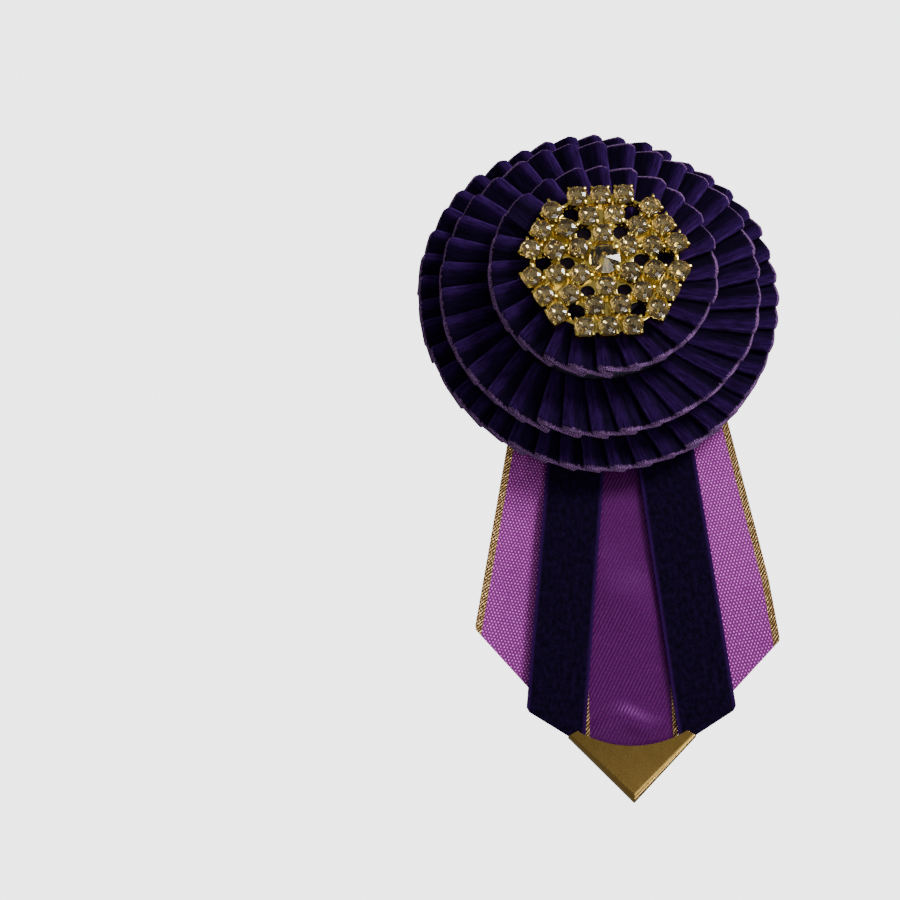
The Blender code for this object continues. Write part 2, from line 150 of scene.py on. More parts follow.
def bevelEdges(piece, test, offset, segments):
    selectParts(piece, "EDGE", test)
    bpy.ops.mesh.bevel(offset=offset, segments=segments, affect="EDGES")
    leaveEdit()


def roundEdges(piece, width, segments, angle):  # every edge sharper than angle
    applyModifier(piece, "BEVEL", width=width, segments=segments, limit_method="ANGLE",
                  angle_limit=radians(angle))


def alongDepth(edge):
    return abs(edge.verts[0].co.y - edge.verts[1].co.y) > 0.5


def sliceAway(piece, point, normal):  # what lies beyond the plane, on the side normal points to
    editAll(piece)
    bpy.ops.mesh.bisect(plane_co=point, plane_no=normal, clear_outer=True, use_fill=True)
    leaveEdit()


def extrude(offset, resize, turn=0):  # the selected faces move out, shrink and turn
    bpy.ops.mesh.extrude_region_move(TRANSFORM_OT_translate={"value": offset})
    bpy.ops.transform.resize(value=resize)
    if turn:
        bpy.ops.transform.rotate(value=radians(turn), orient_axis="Z", center_override=(0, 0, 0))


def addCube(low, high):
    low, high = Vector(low), Vector(high)
    clearSelection()
    bpy.ops.mesh.primitive_cube_add(size=1.0, location=(low + high) / 2)
    cube = bpy.context.object
    cube.scale = high - low
    applyPlace()
    return cube


def addBar(radius, start, end, sides=24, endRadius=None):  # round bar or taper between two points
    start, end = Vector(start), Vector(end)
    clearSelection()
    bpy.ops.mesh.primitive_cone_add(vertices=sides, radius1=radius, depth=(end - start).length,
                                    radius2=radius if endRadius is None else endRadius,
                                    location=(start + end) / 2)
    bar = bpy.context.object
    bar.rotation_mode = "QUATERNION"
    bar.rotation_quaternion = (end - start).to_track_quat("Z", "Y")
    applyPlace()
    return bar


def joinAll(pieces, name):
    clearSelection()
    for piece in pieces:
        piece.select_set(True)
    bpy.context.view_layer.objects.active = pieces[0]
    bpy.ops.object.join()
    pieces[0].name = name
    pieces[0].data.name = name
    return pieces[0]


def meshPiece(bm, name):
    mesh = bpy.data.meshes.new(name)
    bm.to_mesh(mesh)
    bm.free()
    piece = bpy.data.objects.new(name, mesh)
    addToScene(piece)
    return piece


def standFor(piece, node, body="rosette"):
    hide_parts(node)
    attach(piece, body)


def giveMaterial(piece, *materials):
    piece.data.materials.clear()
    for mat in materials:
        piece.data.materials.append(mat)


def newMaterial(name, **sockets):
    mat = bpy.data.materials.new(name)
    mat.use_nodes = True
    shader = mat.node_tree.nodes["Principled BSDF"]
    for socket, value in sockets.items():
        shader.inputs[socket.replace("_", " ")].default_value = value
    return mat


def addNode(mat, kind, **settings):
    node = mat.node_tree.nodes.new("ShaderNode" + kind)
    for key, value in settings.items():
        if key in node.inputs:
            node.inputs[key].default_value = value
        else:
            setattr(node, key, value)
    return node


def link(mat, source, target):
    mat.node_tree.links.new(source, target)


def plug(mat, value, socket):  # into the mat's own shader
    link(mat, value, mat.node_tree.nodes["Principled BSDF"].inputs[socket])


def mathNode(mat, operation, first, second=None, third=None):
    node = addNode(mat, "Math", operation=operation)
    for number, value in enumerate((first, second, third)):
        if value is None:
            continue
        if isinstance(value, (int, float)):
            node.inputs[number].default_value = value
        else:
            link(mat, value, node.inputs[number])
    return node.outputs[0]


def scaled(mat, value, factor, added=0.0):
    return mathNode(mat, "MULTIPLY_ADD", value, factor, added)


def waveNode(mat, value, length):  # a sine over every length of value
    return mathNode(mat, "SINE", scaled(mat, value, 2 * pi / length))


def rangeNode(mat, value, low, high):  # 0 below low, 1 above high
    ramp = addNode(mat, "MapRange", **{"From Min": low, "From Max": high})
    link(mat, value, ramp.inputs["Value"])
    return ramp.outputs[0]


def rampNode(mat, source, stops):  # stops are (place, colour)
    ramp = addNode(mat, "ValToRGB")
    elements = ramp.color_ramp.elements
    while len(elements) < len(stops):
        elements.new(0.5)
    for element, (place, colour) in zip(elements, stops):
        element.position = place
        element.color = (*colour, 1.0)
    link(mat, source, ramp.inputs[0])
    return ramp.outputs[0]


def mixColours(mat, amount, first, second, blend="MIX"):  # second over first, wholly without an amount
    mix = addNode(mat, "Mix", data_type="RGBA", blend_type=blend)
    mix.inputs[0].default_value = 1.0
    if amount:
        link(mat, amount, mix.inputs[0])
    link(mat, first, mix.inputs[6])
    link(mat, second, mix.inputs[7])
    return mix.outputs[2]


def noiseOn(mat, coordinates, scale, detail=3.0, stretch=(1, 1, 1)):
    mapping = addNode(mat, "Mapping", Scale=stretch)
    link(mat, coordinates, mapping.inputs["Vector"])
    noise = addNode(mat, "TexNoise", Scale=scale, Detail=detail)
    link(mat, mapping.outputs[0], noise.inputs["Vector"])
    return noise.outputs["Fac"]


def addBump(mat, height, strength, distance):
    bump = addNode(mat, "Bump", Strength=strength, Distance=distance)
    link(mat, height, bump.inputs["Height"])
    plug(mat, bump.outputs[0], "Normal")


def mapCoordinates(mat, uvMap):  # the ribbon map holds millimetres along and across the ribbon
    uv = addNode(mat, "UVMap", uv_map=uvMap)
    parts = addNode(mat, "SeparateXYZ")
    link(mat, uv.outputs[0], parts.inputs[0])
    return uv.outputs[0], parts.outputs[0], parts.outputs[1]


def nearEdge(mat, across, width, band, soft):  # 1 in a band along both edges, 0 inside
    fromMiddle = mathNode(mat, "ABSOLUTE", mathNode(mat, "SUBTRACT", across, width / 2))
    return rangeNode(mat, fromMiddle, width / 2 - band - soft, width / 2 - band + soft)


def objectCoordinates(mat):
    return addNode(mat, "TexCoord").outputs["Object"]


velvetLook = {
    # flapLit is a painted lit copy of the flap colour
    "flap": (0.0015, 0.0005, 0.0041), "flapLit": (0.0051, 0.0016, 0.0148),
    # fold and crease are painted sheen on the pleats' folds and a painted highlight on their crests
    "fold": (0.0125, 0.0025, 0.0345), "crease": (0.0230, 0.0068, 0.0560),
    "selvage": (0.235, 0.115, 0.280), "selvageDark": (0.016, 0.005, 0.032),
    "frontBand": 0.62, "tailEdge": (0.0310, 0.0032, 0.0760), "tailBand": 0.50, "sheen": 0.05,
    "sheenTint": (0.30, 0.12, 0.80, 1.0),
}


def napOf(mat, place, comb):  # cut pile: slow strokes of the nap lay a painted lit copy of the flap colour over it, with fine specks over them
    look = velvetLook
    nap = noiseOn(mat, place, 0.8, 4.0, comb)
    pile = noiseOn(mat, place, 7.0, 3.0)
    # painted light: the nap noise mixes the flap colour with its lit copy
    flapAndPaintedLitCopy = rampNode(mat, nap, ((0.34, look["flap"]), (0.72, look["flapLit"])))
    streaks = noiseOn(mat, place, 3.4, 3.0, comb)
    value = scaled(mat, streaks, 0.55, scaled(mat, pile, 0.45))
    speck = rampNode(mat, value, ((0.36, (0.22, 0.22, 0.22)), (0.66, (2.3, 2.3, 2.3))))
    return mixColours(mat, None, flapAndPaintedLitCopy, speck, "MULTIPLY"), speck, pile


def makeVelvet(name, width, folded):
    look = velvetLook
    mat = newMaterial(name, Roughness=0.95, Specular_IOR_Level=0.04, Sheen_Weight=look["sheen"],
                      Sheen_Roughness=0.30, Sheen_Tint=look["sheenTint"])
    place, along, across = mapCoordinates(mat, "ribbon")
    colour, speck, pile = napOf(mat, place, (1.0, 0.10, 1.0) if folded else (1.2, 1.6, 1.0))
    if folded:  # painted sheen along each pleat's fold, with a painted highlight line on the fold's crest
        _, fromFold, _ = mapCoordinates(mat, "pleat")
        wander = scaled(mat, noiseOn(mat, place, 0.9, 4.0), 0.16, -0.08)
        onFold = rangeNode(mat, mathNode(mat, "ADD", fromFold, wander), -0.2, 0.8)
        foldHighlight = rampNode(mat, onFold, (
            (0.08, look["flap"]), (0.17, look["fold"]), (0.21, look["crease"]), (0.26, look["fold"]),
            (0.50, look["fold"]), (0.80, look["flap"])))
        # where the painted fold sheen and crest highlight lie over the flap colour
        foldHighlightMask = rampNode(mat, onFold, (
            (0.10, (0, 0, 0)), (0.18, (1, 1, 1)), (0.45, (0.8, 0.8, 0.8)), (0.85, (0, 0, 0))))
        colour = mixColours(mat, foldHighlightMask, colour, mixColours(mat, None, foldHighlight, speck, "MULTIPLY"))
        coarse = noiseOn(mat, place, 5.0, 4.0)
        weave = scaled(mat, waveNode(mat, along, 0.36), 0.05, coarse)
        edgeColour = rampNode(mat, weave, ((0.40, look["selvageDark"]), (0.62, look["selvage"])))
        ragged = scaled(mat, noiseOn(mat, place, 1.6, 3.0), 0.9, -0.45)
        inner = width - look["frontBand"]  # only the outer edge shows its selvage
        edge = rangeNode(mat, mathNode(mat, "ADD", across, ragged), inner - 0.14, inner + 0.14)
    else:
        edgeColour = rampNode(mat, pile, ((0.3, look["flapLit"]), (0.7, look["tailEdge"])))
        edge = nearEdge(mat, across, width, look["tailBand"], 0.25)
    plug(mat, mixColours(mat, edge, colour, edgeColour), "Base Color")
    addBump(mat, pile, 0.6, 0.00015)
    return mat


satinLook = {
    "pick": 0.57, "row": 0.50, "edgeBand": 1.25, "twill": 0.55, "twillTurn": 62.0,
    "matt": (0.275, 0.034, 0.262), "mattDark": (0.155, 0.014, 0.150), "dot": (0.86, 0.20, 0.84),
    "shiny": (0.046, 0.0006, 0.054), "shinyDark": (0.024, 0.0002, 0.030),
    "shinyLight": (0.115, 0.008, 0.128),
    "thread": (0.36, 0.21, 0.07), "threadDark": (0.110, 0.058, 0.022), "threadGlint": (0.88, 0.62, 0.28),
    "centreBand": 0.80,
}


def goldEdge(mat, across, along, width, under, band):  # metallic thread along both edges, its brightest flecks painted glints
    look = satinLook
    edge = nearEdge(mat, across, width, band, 0.05)
    ply = waveNode(mat, scaled(mat, across, 1.1, along), 0.62)
    # painted glints: fine flecks lift the thread to its brightest colour
    glintFleck = noiseOn(mat, objectCoordinates(mat), 2600.0, 2.0)
    value = scaled(mat, ply, 0.30, glintFleck)
    gold = rampNode(mat, value, ((0.36, look["threadDark"]), (0.62, look["thread"]),
                                 (0.92, look["threadGlint"])))
    plug(mat, mixColours(mat, edge, under, gold), "Base Color")
    plug(mat, scaled(mat, edge, 0.85), "Metallic")
    return edge, ply


def makeMattSatin(name, width):  # the woven back of the ribbon, in rows of raised picks
    look = satinLook
    mat = newMaterial(name, Specular_IOR_Level=0.14, Specular_Tint=(1.0, 0.7, 1.0, 1.0))
    place, along, across = mapCoordinates(mat, "ribbon")
    row = mathNode(mat, "DIVIDE", along, look["row"])
    shift = scaled(mat, mathNode(mat, "FLOOR", row), 0.5)
    column = mathNode(mat, "ADD", mathNode(mat, "DIVIDE", across, look["pick"]), shift)
    inRow = waveNode(mat, mathNode(mat, "FRACT", row), 2.0)
    inColumn = waveNode(mat, mathNode(mat, "FRACT", column), 2.0)
    dot = scaled(mat, inRow, mathNode(mat, "POWER", inColumn, 2.6))
    grain = noiseOn(mat, place, 3.2, 3.0)
    value = scaled(mat, dot, scaled(mat, grain, 1.8, 0.08))
    colour = rampNode(mat, value, ((0.12, look["mattDark"]), (0.50, look["matt"]), (0.86, look["dot"])))
    edge, ply = goldEdge(mat, across, along, width, colour, look["edgeBand"])
    plug(mat, scaled(mat, edge, -0.22, 0.52), "Roughness")
    height = scaled(mat, scaled(mat, edge, ply), 0.9, dot)
    addBump(mat, height, 0.7, 0.00010)
    return mat


def makeShinySatin(name, width):  # the satin face: fine slanting floats
    look = satinLook
    mat = newMaterial(name, Specular_IOR_Level=0.34, Anisotropic=0.45,
                      Specular_Tint=(0.9, 0.28, 1.0, 1.0))
    place, along, across = mapCoordinates(mat, "ribbon")
    twillTurn = radians(look["twillTurn"])
    slant = scaled(mat, along, cos(twillTurn), scaled(mat, across, sin(twillTurn)))
    floats = waveNode(mat, slant, look["twill"])
    cross = waveNode(mat, along, 0.30)
    grain = scaled(mat, cross, 0.06, noiseOn(mat, place, 3.5, 3.0))
    value = scaled(mat, floats, 0.13, grain)
    colour = rampNode(mat, value, (
        (0.18, look["shinyDark"]), (0.50, look["shiny"]), (0.85, look["shinyLight"])))
    edge, ply = goldEdge(mat, across, along, width, colour, look["centreBand"])
    plug(mat, scaled(mat, edge, -0.08, 0.40), "Roughness")
    height = scaled(mat, scaled(mat, edge, ply), 1.6, floats)
    addBump(mat, height, 0.45, 0.00006)
    return mat


def makeFelt(name, dark, light, scale=2200.0):
    mat = newMaterial(name, Roughness=0.95, Specular_IOR_Level=0.15, Sheen_Weight=0.35,
                      Sheen_Roughness=0.5, Sheen_Tint=(0.35, 0.28, 0.5, 1.0))
    place = objectCoordinates(mat)
    fibres = noiseOn(mat, place, scale, 6.0)
    blotch = noiseOn(mat, place, 140.0, 3.0)
    value = scaled(mat, blotch, 0.5, scaled(mat, fibres, 0.6))
    plug(mat, rampNode(mat, value, ((0.35, dark), (0.75, light))), "Base Color")
    addBump(mat, fibres, 0.9, 0.00025)
    return mat


def makeCard(name):
    mat = newMaterial(name, Roughness=0.88, Specular_IOR_Level=0.25)
    fibres = noiseOn(mat, objectCoordinates(mat), 1500.0, 5.0, (1, 6, 1))
    plug(mat, rampNode(mat, fibres, ((0.3, (0.36, 0.29, 0.21)), (0.7, (0.55, 0.47, 0.37)))), "Base Color")
    addBump(mat, fibres, 0.5, 0.0001)
    return mat


def makeMetal(name, dark, light, roughness, spread, scale=900.0, stretch=(1, 1, 1), bump=0.15):
    mat = newMaterial(name, Metallic=1.0)
    place = objectCoordinates(mat)
    grain = noiseOn(mat, place, scale, 5.0, stretch)
    cloud = noiseOn(mat, place, 160.0, 3.0)
    value = scaled(mat, cloud, 0.6, scaled(mat, grain, 0.4))
    plug(mat, rampNode(mat, value, ((0.3, dark), (0.72, light))), "Base Color")
    plug(mat, scaled(mat, value, spread, roughness - spread / 2), "Roughness")
    addBump(mat, grain, bump, 0.00004)
    return mat


def makeCrystal(name):
    mat = newMaterial(name, Base_Color=(0.88, 0.82, 0.60, 1.0), Roughness=0.0, IOR=1.55,
                      Transmission_Weight=1.0, Specular_IOR_Level=0.45)
    scratch = noiseOn(mat, objectCoordinates(mat), 700.0, 3.0)
    plug(mat, scaled(mat, scratch, 0.05), "Roughness")
    return mat


def makeFoil(name):
    mat = newMaterial(name, Metallic=1.0)
    tarnish = noiseOn(mat, objectCoordinates(mat), 420.0, 3.0)
    foil = rampNode(mat, tarnish, ((0.3, (0.36, 0.29, 0.15)), (0.7, (0.76, 0.64, 0.38))))
    plug(mat, foil, "Base Color")
    plug(mat, scaled(mat, tarnish, 0.12, 0.02), "Roughness")
    return mat


velvetWidth, satinWidth = 10.0, 15.2  # mm, ribbon widths
pleatVelvet = makeVelvet("pleatVelvet", velvetWidth, folded=True)
tailVelvet = makeVelvet("tailVelvet", velvetWidth, folded=False)
mattSatin = makeMattSatin("mattSatin", satinWidth)
shinySatin = makeShinySatin("shinySatin", satinWidth)
backFelt = makeFelt("backFelt", (0.010, 0.006, 0.020), (0.045, 0.030, 0.075))
padFelt = makeFelt("padFelt", (0.006, 0.004, 0.012), (0.028, 0.016, 0.050))
stiffCard = makeCard("stiffCard")
giltCasting = makeMetal("giltCasting", (0.48, 0.35, 0.058), (0.78, 0.61, 0.17), 0.18, 0.14)
tipBrass = makeMetal("tipBrass", (0.245, 0.155, 0.038), (0.305, 0.195, 0.052), 0.22, 0.04, 700.0,
                     (1, 1, 0.5), 0.02)
pinSteel = makeMetal("pinSteel", (0.50, 0.50, 0.52), (0.78, 0.78, 0.80), 0.26, 0.2, 1200.0, (0.1, 1, 1))
crystalGlass = makeCrystal("crystalGlass")
crystalFoil = makeFoil("crystalFoil")
sewingThread = makeFelt("sewingThread", (0.012, 0.006, 0.030), (0.060, 0.035, 0.110), 5000.0)
print("materials made")


tiers = {
    "outerTier": {
        "node": "outer_pleats", "pleats": 43, "start": 4.0, "rimLayer": 0.76, "innerLayer": 0.34,
        "rise": 1.1, "flap": 7.3, "turn": 8.0, "shift": (0.0, 0.0), "seed": 11,
        "swells": ((145, 35, 1.1), (85, 18, 0.3), (52, 14, -0.9), (225, 30, -0.35), (335, 45, -0.5))},
    "middleTier": {
        "node": "middle_pleats", "pleats": 34, "start": 1.0, "rimLayer": 0.80, "innerLayer": 0.34,
        "rise": 1.4, "flap": 7.8, "turn": 8.0, "shift": (-0.3, -0.2), "seed": 23,
        "swells": ((200, 40, 0.2), (270, 45, -0.9))},
    "innerTier": {
        "node": "inner_pleats", "pleats": 24, "start": 145.0, "rimLayer": 0.78, "innerLayer": 0.27,
        "rise": 1.3, "flap": 7.4, "turn": 9.0, "openJoin": True, "shift": (0.0, 0.0), "seed": 37,
        "swells": ((145, 20, 0.2), (272, 45, -1.0))},
}
pleatShape = {
    "pile": 0.52, "selvageShare": 0.5, "foldSteps": 6, "flapSteps": 9, "rimDrop": 0.32, "innerDrop": 0.10,
    "crease": 1.2, "fall": 0.8, "bulge": 0.12, "corner": 0.20, "curlStart": 8.9, "curlTurn": 74.0,
    "rows": (0.0, 0.4, 1.5, 3.0, 4.6, 6.2, 7.6, 8.6, 8.95, 9.25, 9.55, 9.8, 10.0),
    # shift, lean, forwards, sideways, lengthen, tilt and curl of a pleat
    "jitter": ((-0.08, 0.08), (-2.5, 2.5), (-0.14, 0.16), (-0.20, 0.12), (-0.3, 0.3), (-1.5, 1.5),
               (0.75, 1.25)),
}


def pleatSection(pitch, flap, layer, drop, last):
    # one pleat's path from under its free fold to its hidden one: sideways, forwards, place on the map
    fold = layer / 2
    foldSteps, flapSteps = pleatShape["foldSteps"], pleatShape["flapSteps"]
    crease = min(pleatShape["crease"], 0.27 * pitch)
    points = []
    for step in range(foldSteps):
        share = step / (foldSteps - 1)
        points.append((fold - fold * sin(pi * share), -drop - fold - fold * cos(pi * share),
                       0.16 * (share - 0.75)))
    for share, height in ((0.40, 0.50), (0.75, 0.84), (1.0, 0.97), (1.22, 0.97)):
        s = fold + (crease - fold) * share
        points.append((s, -drop * (1 - height), 0.02 + s / pitch))
    slope = (drop + 2 * layer) / (pitch - crease)
    first = crease * 1.35
    for step in range(flapSteps):
        s = first + (flap - fold - first) * step / (flapSteps - 1)
        fall = 0.55 * layer * s / pitch if last else -slope * (s - crease)
        points.append((s, fall, 0.02 + s / pitch))
    if not last:
        endS, endT, _ = points[-1]
        for step in range(1, foldSteps):
            turn = pi * step / (foldSteps - 1)
            points.append((endS + fold * sin(turn), endT + fold - fold * cos(turn), 1.5))
    return points


def makeTier(tier):
    low, high = nodeBox(tier["node"])
    rim = (high.x - low.x) / 2 / mm
    front = low.y / mm
    pleats, width = tier["pleats"], velvetWidth
    pitchTurn = 2 * pi / pleats
    draw = random.Random(tier["seed"])
    jitters = [[draw.uniform(low, high) for low, high in pleatShape["jitter"]] for _ in range(pleats)]
    curlStart, curlTurn = pleatShape["curlStart"], pleatShape["curlTurn"]
    fall = radians(pleatShape["fall"])
    rows = []
    for across in pleatShape["rows"]:
        share = across / width
        layer = tier["innerLayer"] + (tier["rimLayer"] - tier["innerLayer"]) * share
        drop = pleatShape["innerDrop"] + (pleatShape["rimDrop"] - pleatShape["innerDrop"]) * share
        line = []
        for pleat in range(pleats):
            shift, lean, forwards, sideways, lengthen, tilt, curl = jitters[pleat]
            curlRadius = (width - curlStart) / radians(curlTurn * curl)
            bent = max(0.0, across - curlStart) / curlRadius
            lie = min(across, curlStart) + curlRadius * sin(bent)
            widest = curlStart + curlRadius * sin(radians(curlTurn * curl))
            angle = radians(tier["start"]) + (pleat + shift) * pitchTurn
            turn = radians(tier["turn"] + lean)
            swell = 0.0
            for middle, spread, height in tier["swells"]:
                away = (degrees(angle) - middle + 180) % 360 - 180
                swell += height * exp(-(away / spread) ** 2)
            outwards = Vector((cos(angle + turn), sin(angle + turn)))
            corner = Vector((cos(angle), sin(angle))) * (rim + sideways + swell)
            foot = corner - outwards * (widest - lie)
            pitch = foot.length * pitchTurn
            last = tier.get("openJoin") and pleat == pleats - 1
            flap = 1.28 * rim * pitchTurn if last else tier["flap"] + lengthen
            for s, t, mapPlace in pleatSection(pitch, flap, layer, drop, last):
                bulge = pleatShape["bulge"] * sin(pi * min(s / pitch, 1.0)) * share ** 2
                reach = foot.length - s * tan(fall + radians(tilt)) + bulge
                reach -= pleatShape["corner"] * exp(-s / 0.4) * share ** 4
                around = atan2(foot.y, foot.x) + s / foot.length
                depth = front + 0.45 + (1 - share) * tier["rise"] - t
                depth += curlRadius * (1 - cos(bent)) - forwards
                x = reach * cos(around) + tier["shift"][0]
                z = reach * sin(around) + tier["shift"][1]
                line.append((Vector((x, depth, z)) * mm, mapPlace))
        rows.append(line)
    return rows


def clothMesh(name, rows):
    # its maps hold millimetres of ribbon, and the place on each pleat
    bm = bmesh.new()
    ribbonMap = bm.loops.layers.uv.new("ribbon")
    pleatMap = bm.loops.layers.uv.new("pleat")
    weights = bm.verts.layers.deform.verify()
    verts = []
    travelled = [0.0]
    outer = rows[-1]
    for first, second in zip(outer, outer[1:]):
        travelled.append(travelled[-1] + (second[0] - first[0]).length / mm)
    for across, line in zip(pleatShape["rows"], rows):
        verts.append([bm.verts.new(point) for point, _ in line])
        for vert in verts[-1]:  # the pile is thickest between the two selvages
            vert[weights][0] = 0.0 if across > 9.5 else min(1.0, 0.3 + across / 3)
    for i in range(len(rows) - 1):
        for j in range(len(outer) - 1):
            face = bm.faces.new((verts[i][j], verts[i][j + 1], verts[i + 1][j + 1], verts[i + 1][j]))
            corners = ((i, j), (i, j + 1), (i + 1, j + 1), (i + 1, j))
            for loop, (a, b) in zip(face.loops, corners):
                loop[ribbonMap].uv = (travelled[b], pleatShape["rows"][a])
                loop[pleatMap].uv = (rows[a][b][1], a / (len(rows) - 1))
            face.smooth = True
    piece = meshPiece(bm, name)
    piece.vertex_groups.new(name="pile")
    return piece, travelled[-1]


for tierName, tier in tiers.items():
    pleated, ribbonLength = clothMesh(tierName, makeTier(tier))
    applyModifier(pleated, "SOLIDIFY", thickness=pleatShape["pile"] * mm, offset=0.0, use_rim=True,
                  vertex_group="pile", thickness_vertex_group=pleatShape["selvageShare"])
    smoothBy(pleated, 50)
    giveMaterial(pleated, pleatVelvet)
    standFor(pleated, tier["node"])
    print(tierName, "pleated from", round(ribbonLength), "mm of ribbon")


tailShape = {
    "top": -15.5, "hinge": -2.56, "blendTop": -24.5, "blendEnd": -28.5, "satinThickness": 0.24,
    "velvetThickness": 0.66, "acrossSteps": 26, "alongStep": 0.6}
tipShape = {"wall": 0.5, "foldRadius": 1.1, "earX": 8.9, "arcLow": -77.1, "cornerZ": -75.5}
tipLow, tipHigh = nodeBox("tail_tip")
tailX = (tipLow.x + tipHigh.x) / 2 / mm
tipPoint = tipLow.z / mm
tipTop = tipHigh.z / mm
sideWords = {-1: "left", 1: "right"}


def depthOf(node):  # the middle of the node from front to back, mm
    low, high = nodeBox(node)
    return (low.y + high.y) / 2 / mm


def flatRibbon(width, topMiddle, lean, length):
    # a flat strip hung from topMiddle and leaning sideways, in the tails' own millimetres
    acrossSteps = tailShape["acrossSteps"]
    alongSteps = int(length / tailShape["alongStep"])
    bm = bmesh.new()
    uvLayer = bm.loops.layers.uv.new("ribbon")
    bmesh.ops.create_grid(bm, x_segments=acrossSteps, y_segments=alongSteps, size=0.5)
    for vert in bm.verts:
        vert.co = Vector((vert.co.x * width, 0.0, (vert.co.y - 0.5) * length))
    for face in bm.faces:
        for loop in face.loops:
            loop[uvLayer].uv = (-loop.vert.co.z, loop.vert.co.x + width / 2)
        face.smooth = True
    bmesh.ops.rotate(bm, verts=bm.verts, cent=(0, 0, 0), matrix=Matrix.Rotation(lean, 3, "Y"))
    bmesh.ops.translate(bm, verts=bm.verts, vec=(topMiddle, 0.0, tailShape["top"]))
    return bm


def trim(bm, point, normal):  # what lies beyond a line through point, on normal's side
    bmesh.ops.bisect_plane(bm, geom=bm.verts[:] + bm.edges[:] + bm.faces[:], dist=1e-5,
                           plane_co=(point[0], 0, point[1]), plane_no=(normal[0], 0, normal[1]),
                           clear_outer=True)


def hangRibbon(bm, name, depthAt, thickness, mat):
    for vert in bm.verts:
        vert.co.y = depthAt(vert.co.x, vert.co.z)
    flatArea = sum(face.calc_area() for face in bm.faces)
    for vert in bm.verts:
        vert.co = Vector((vert.co.x + tailX, vert.co.y, vert.co.z)) * mm
    bmesh.ops.recalc_face_normals(bm, faces=bm.faces)
    ribbon = meshPiece(bm, name)
    applyModifier(ribbon, "SOLIDIFY", thickness=thickness * mm, offset=0.0, use_rim=True)
    giveMaterial(ribbon, mat)
    return ribbon, flatArea * mm * mm


def declareTail(ribbon, node, area):
    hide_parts(node)
    start, end = [(tailX * mm, tailShape["hinge"] * mm, tailShape[key] * mm)
                  for key in ("blendTop", "blendEnd")]
    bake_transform(ribbon)
    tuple(start)
    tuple(end)


sideSatins = {"lean": 10.4, "outerTop": 20.0, "hangTop": -26.5,
              "corner": {-1: (25.8, -57.3), 1: (26.2, -59.2)}}


def makeSideSatin(side):
    lean = radians(sideSatins["lean"])
    topShift = (tailShape["top"] - sideSatins["hangTop"]) * tan(lean)
    middle = sideSatins["outerTop"] - topShift - satinWidth / 2 / cos(lean)
    bm = flatRibbon(satinWidth, side * middle, -side * lean, 62.0)
    cornerX, cornerZ = sideSatins["corner"][side]
    slope = (cornerZ - tipPoint) / cornerX
    trim(bm, (side * cornerX, cornerZ), (side * slope, -1.0))
    trim(bm, (side * (cornerX - 0.28), cornerZ), (side * 1.0, -0.12))
    rear = depthOf("tail_satin_right")

    def depthAt(x, z):
        share = max(0.0, (-26 - z) / 45)
        wave = 0.22 * sin(0.11 * z + side * 0.08 * x) + 0.10 * sin(0.37 * z - side * 0.2 * x)
        curl = 0.5 * max(0.0, (abs(x) - 17.0) / 8.0) ** 2
        past = max(0.0, 0.30 * x - 0.95 * z - 53.8) if side > 0 else 0.0  # its corner falls back
        return rear + share * (wave - curl) + 0.38 * past ** 2 / (past + 1.0)

    name = sideWords[side] + "SatinTail"
    ribbon, area = hangRibbon(bm, name, depthAt, tailShape["satinThickness"], mattSatin)
    smoothBy(ribbon, 40)
    declareTail(ribbon, "tail_satin_" + sideWords[side], area)


def makeCentreSatin():
    bm = flatRibbon(satinWidth, 0.0, 0.0, 72.0)
    point = nodeBox("tail_satin_centre")[0].z / mm
    for side in (-1, 1):
        trim(bm, (0.0, point), (side * 1.02, -1.0))
    rest = depthOf("tail_satin_centre")

    def depthAt(x, z):
        hang = max(0.0, (-30 - z) / 44)
        still = min(1.0, max(0.0, (z + 79) / 4))  # flat inside the tip
        ripple = 0.10 * sin(0.42 * z + 0.16 * x) + 0.05 * sin(0.9 * z - 0.3 * x + 1.0)
        loose = max(0.0, 1 - (x / 7.0) ** 2)  # its middle comes forward between the velvet ribbons
        crest = -73.2 + 0.9 * cos(0.55 * (x + 2.0))
        fold = 0.72 * exp(-((z - crest) / 1.9) ** 2) + 0.70 * exp(-((z + 54 + 0.4 * x) / 5.5) ** 2)
        return rest + hang * still * ripple - loose * fold

    ribbon, area = hangRibbon(bm, "centreSatinTail", depthAt, tailShape["satinThickness"], shinySatin)
    smoothBy(ribbon, 40)
    declareTail(ribbon, "tail_satin_centre", area)


velvetTails = {"lean": 5.85, "middleTop": 7.6, "hangTop": -26.5, "outerCorner": (16.9, -71.4),
               "innerCorner": (10.6, -75.3)}


def makeVelvetTail(side):
    lean = radians(velvetTails["lean"])
    middle = velvetTails["middleTop"] - (tailShape["top"] - velvetTails["hangTop"]) * tan(lean)
    bm = flatRibbon(velvetWidth, side * middle, -side * lean, 64.0)
    outerX, outerZ = velvetTails["outerCorner"]
    innerX, innerZ = velvetTails["innerCorner"]
    trim(bm, (side * outerX, outerZ), (side * (outerZ - innerZ), -(outerX - innerX)))
    trim(bm, (side * (outerX + 0.15), outerZ + 0.5), (side * 1.0, -0.55))
    trim(bm, (0.0, innerZ - 1.5), (0.0, -1.0))
    rest = depthOf("tail_velvet_right")

    def depthAt(x, z):
        hang = max(0.0, (-30 - z) / 44)
        return rest + hang * (0.14 * sin(0.16 * z + side) - 0.05 * sin(0.5 * z + 0.3 * x))

    name = sideWords[side] + "VelvetTail"
    ribbon, area = hangRibbon(bm, name, depthAt, tailShape["velvetThickness"], tailVelvet)
    roundEdges(ribbon, 0.24 * mm, 3, 50)
    smoothBy(ribbon, 60)
    declareTail(ribbon, "tail_velvet_" + sideWords[side], area)


for tailSide in (-1, 1):
    makeSideSatin(tailSide)
    makeVelvetTail(tailSide)
makeCentreSatin()
print("tails hung")


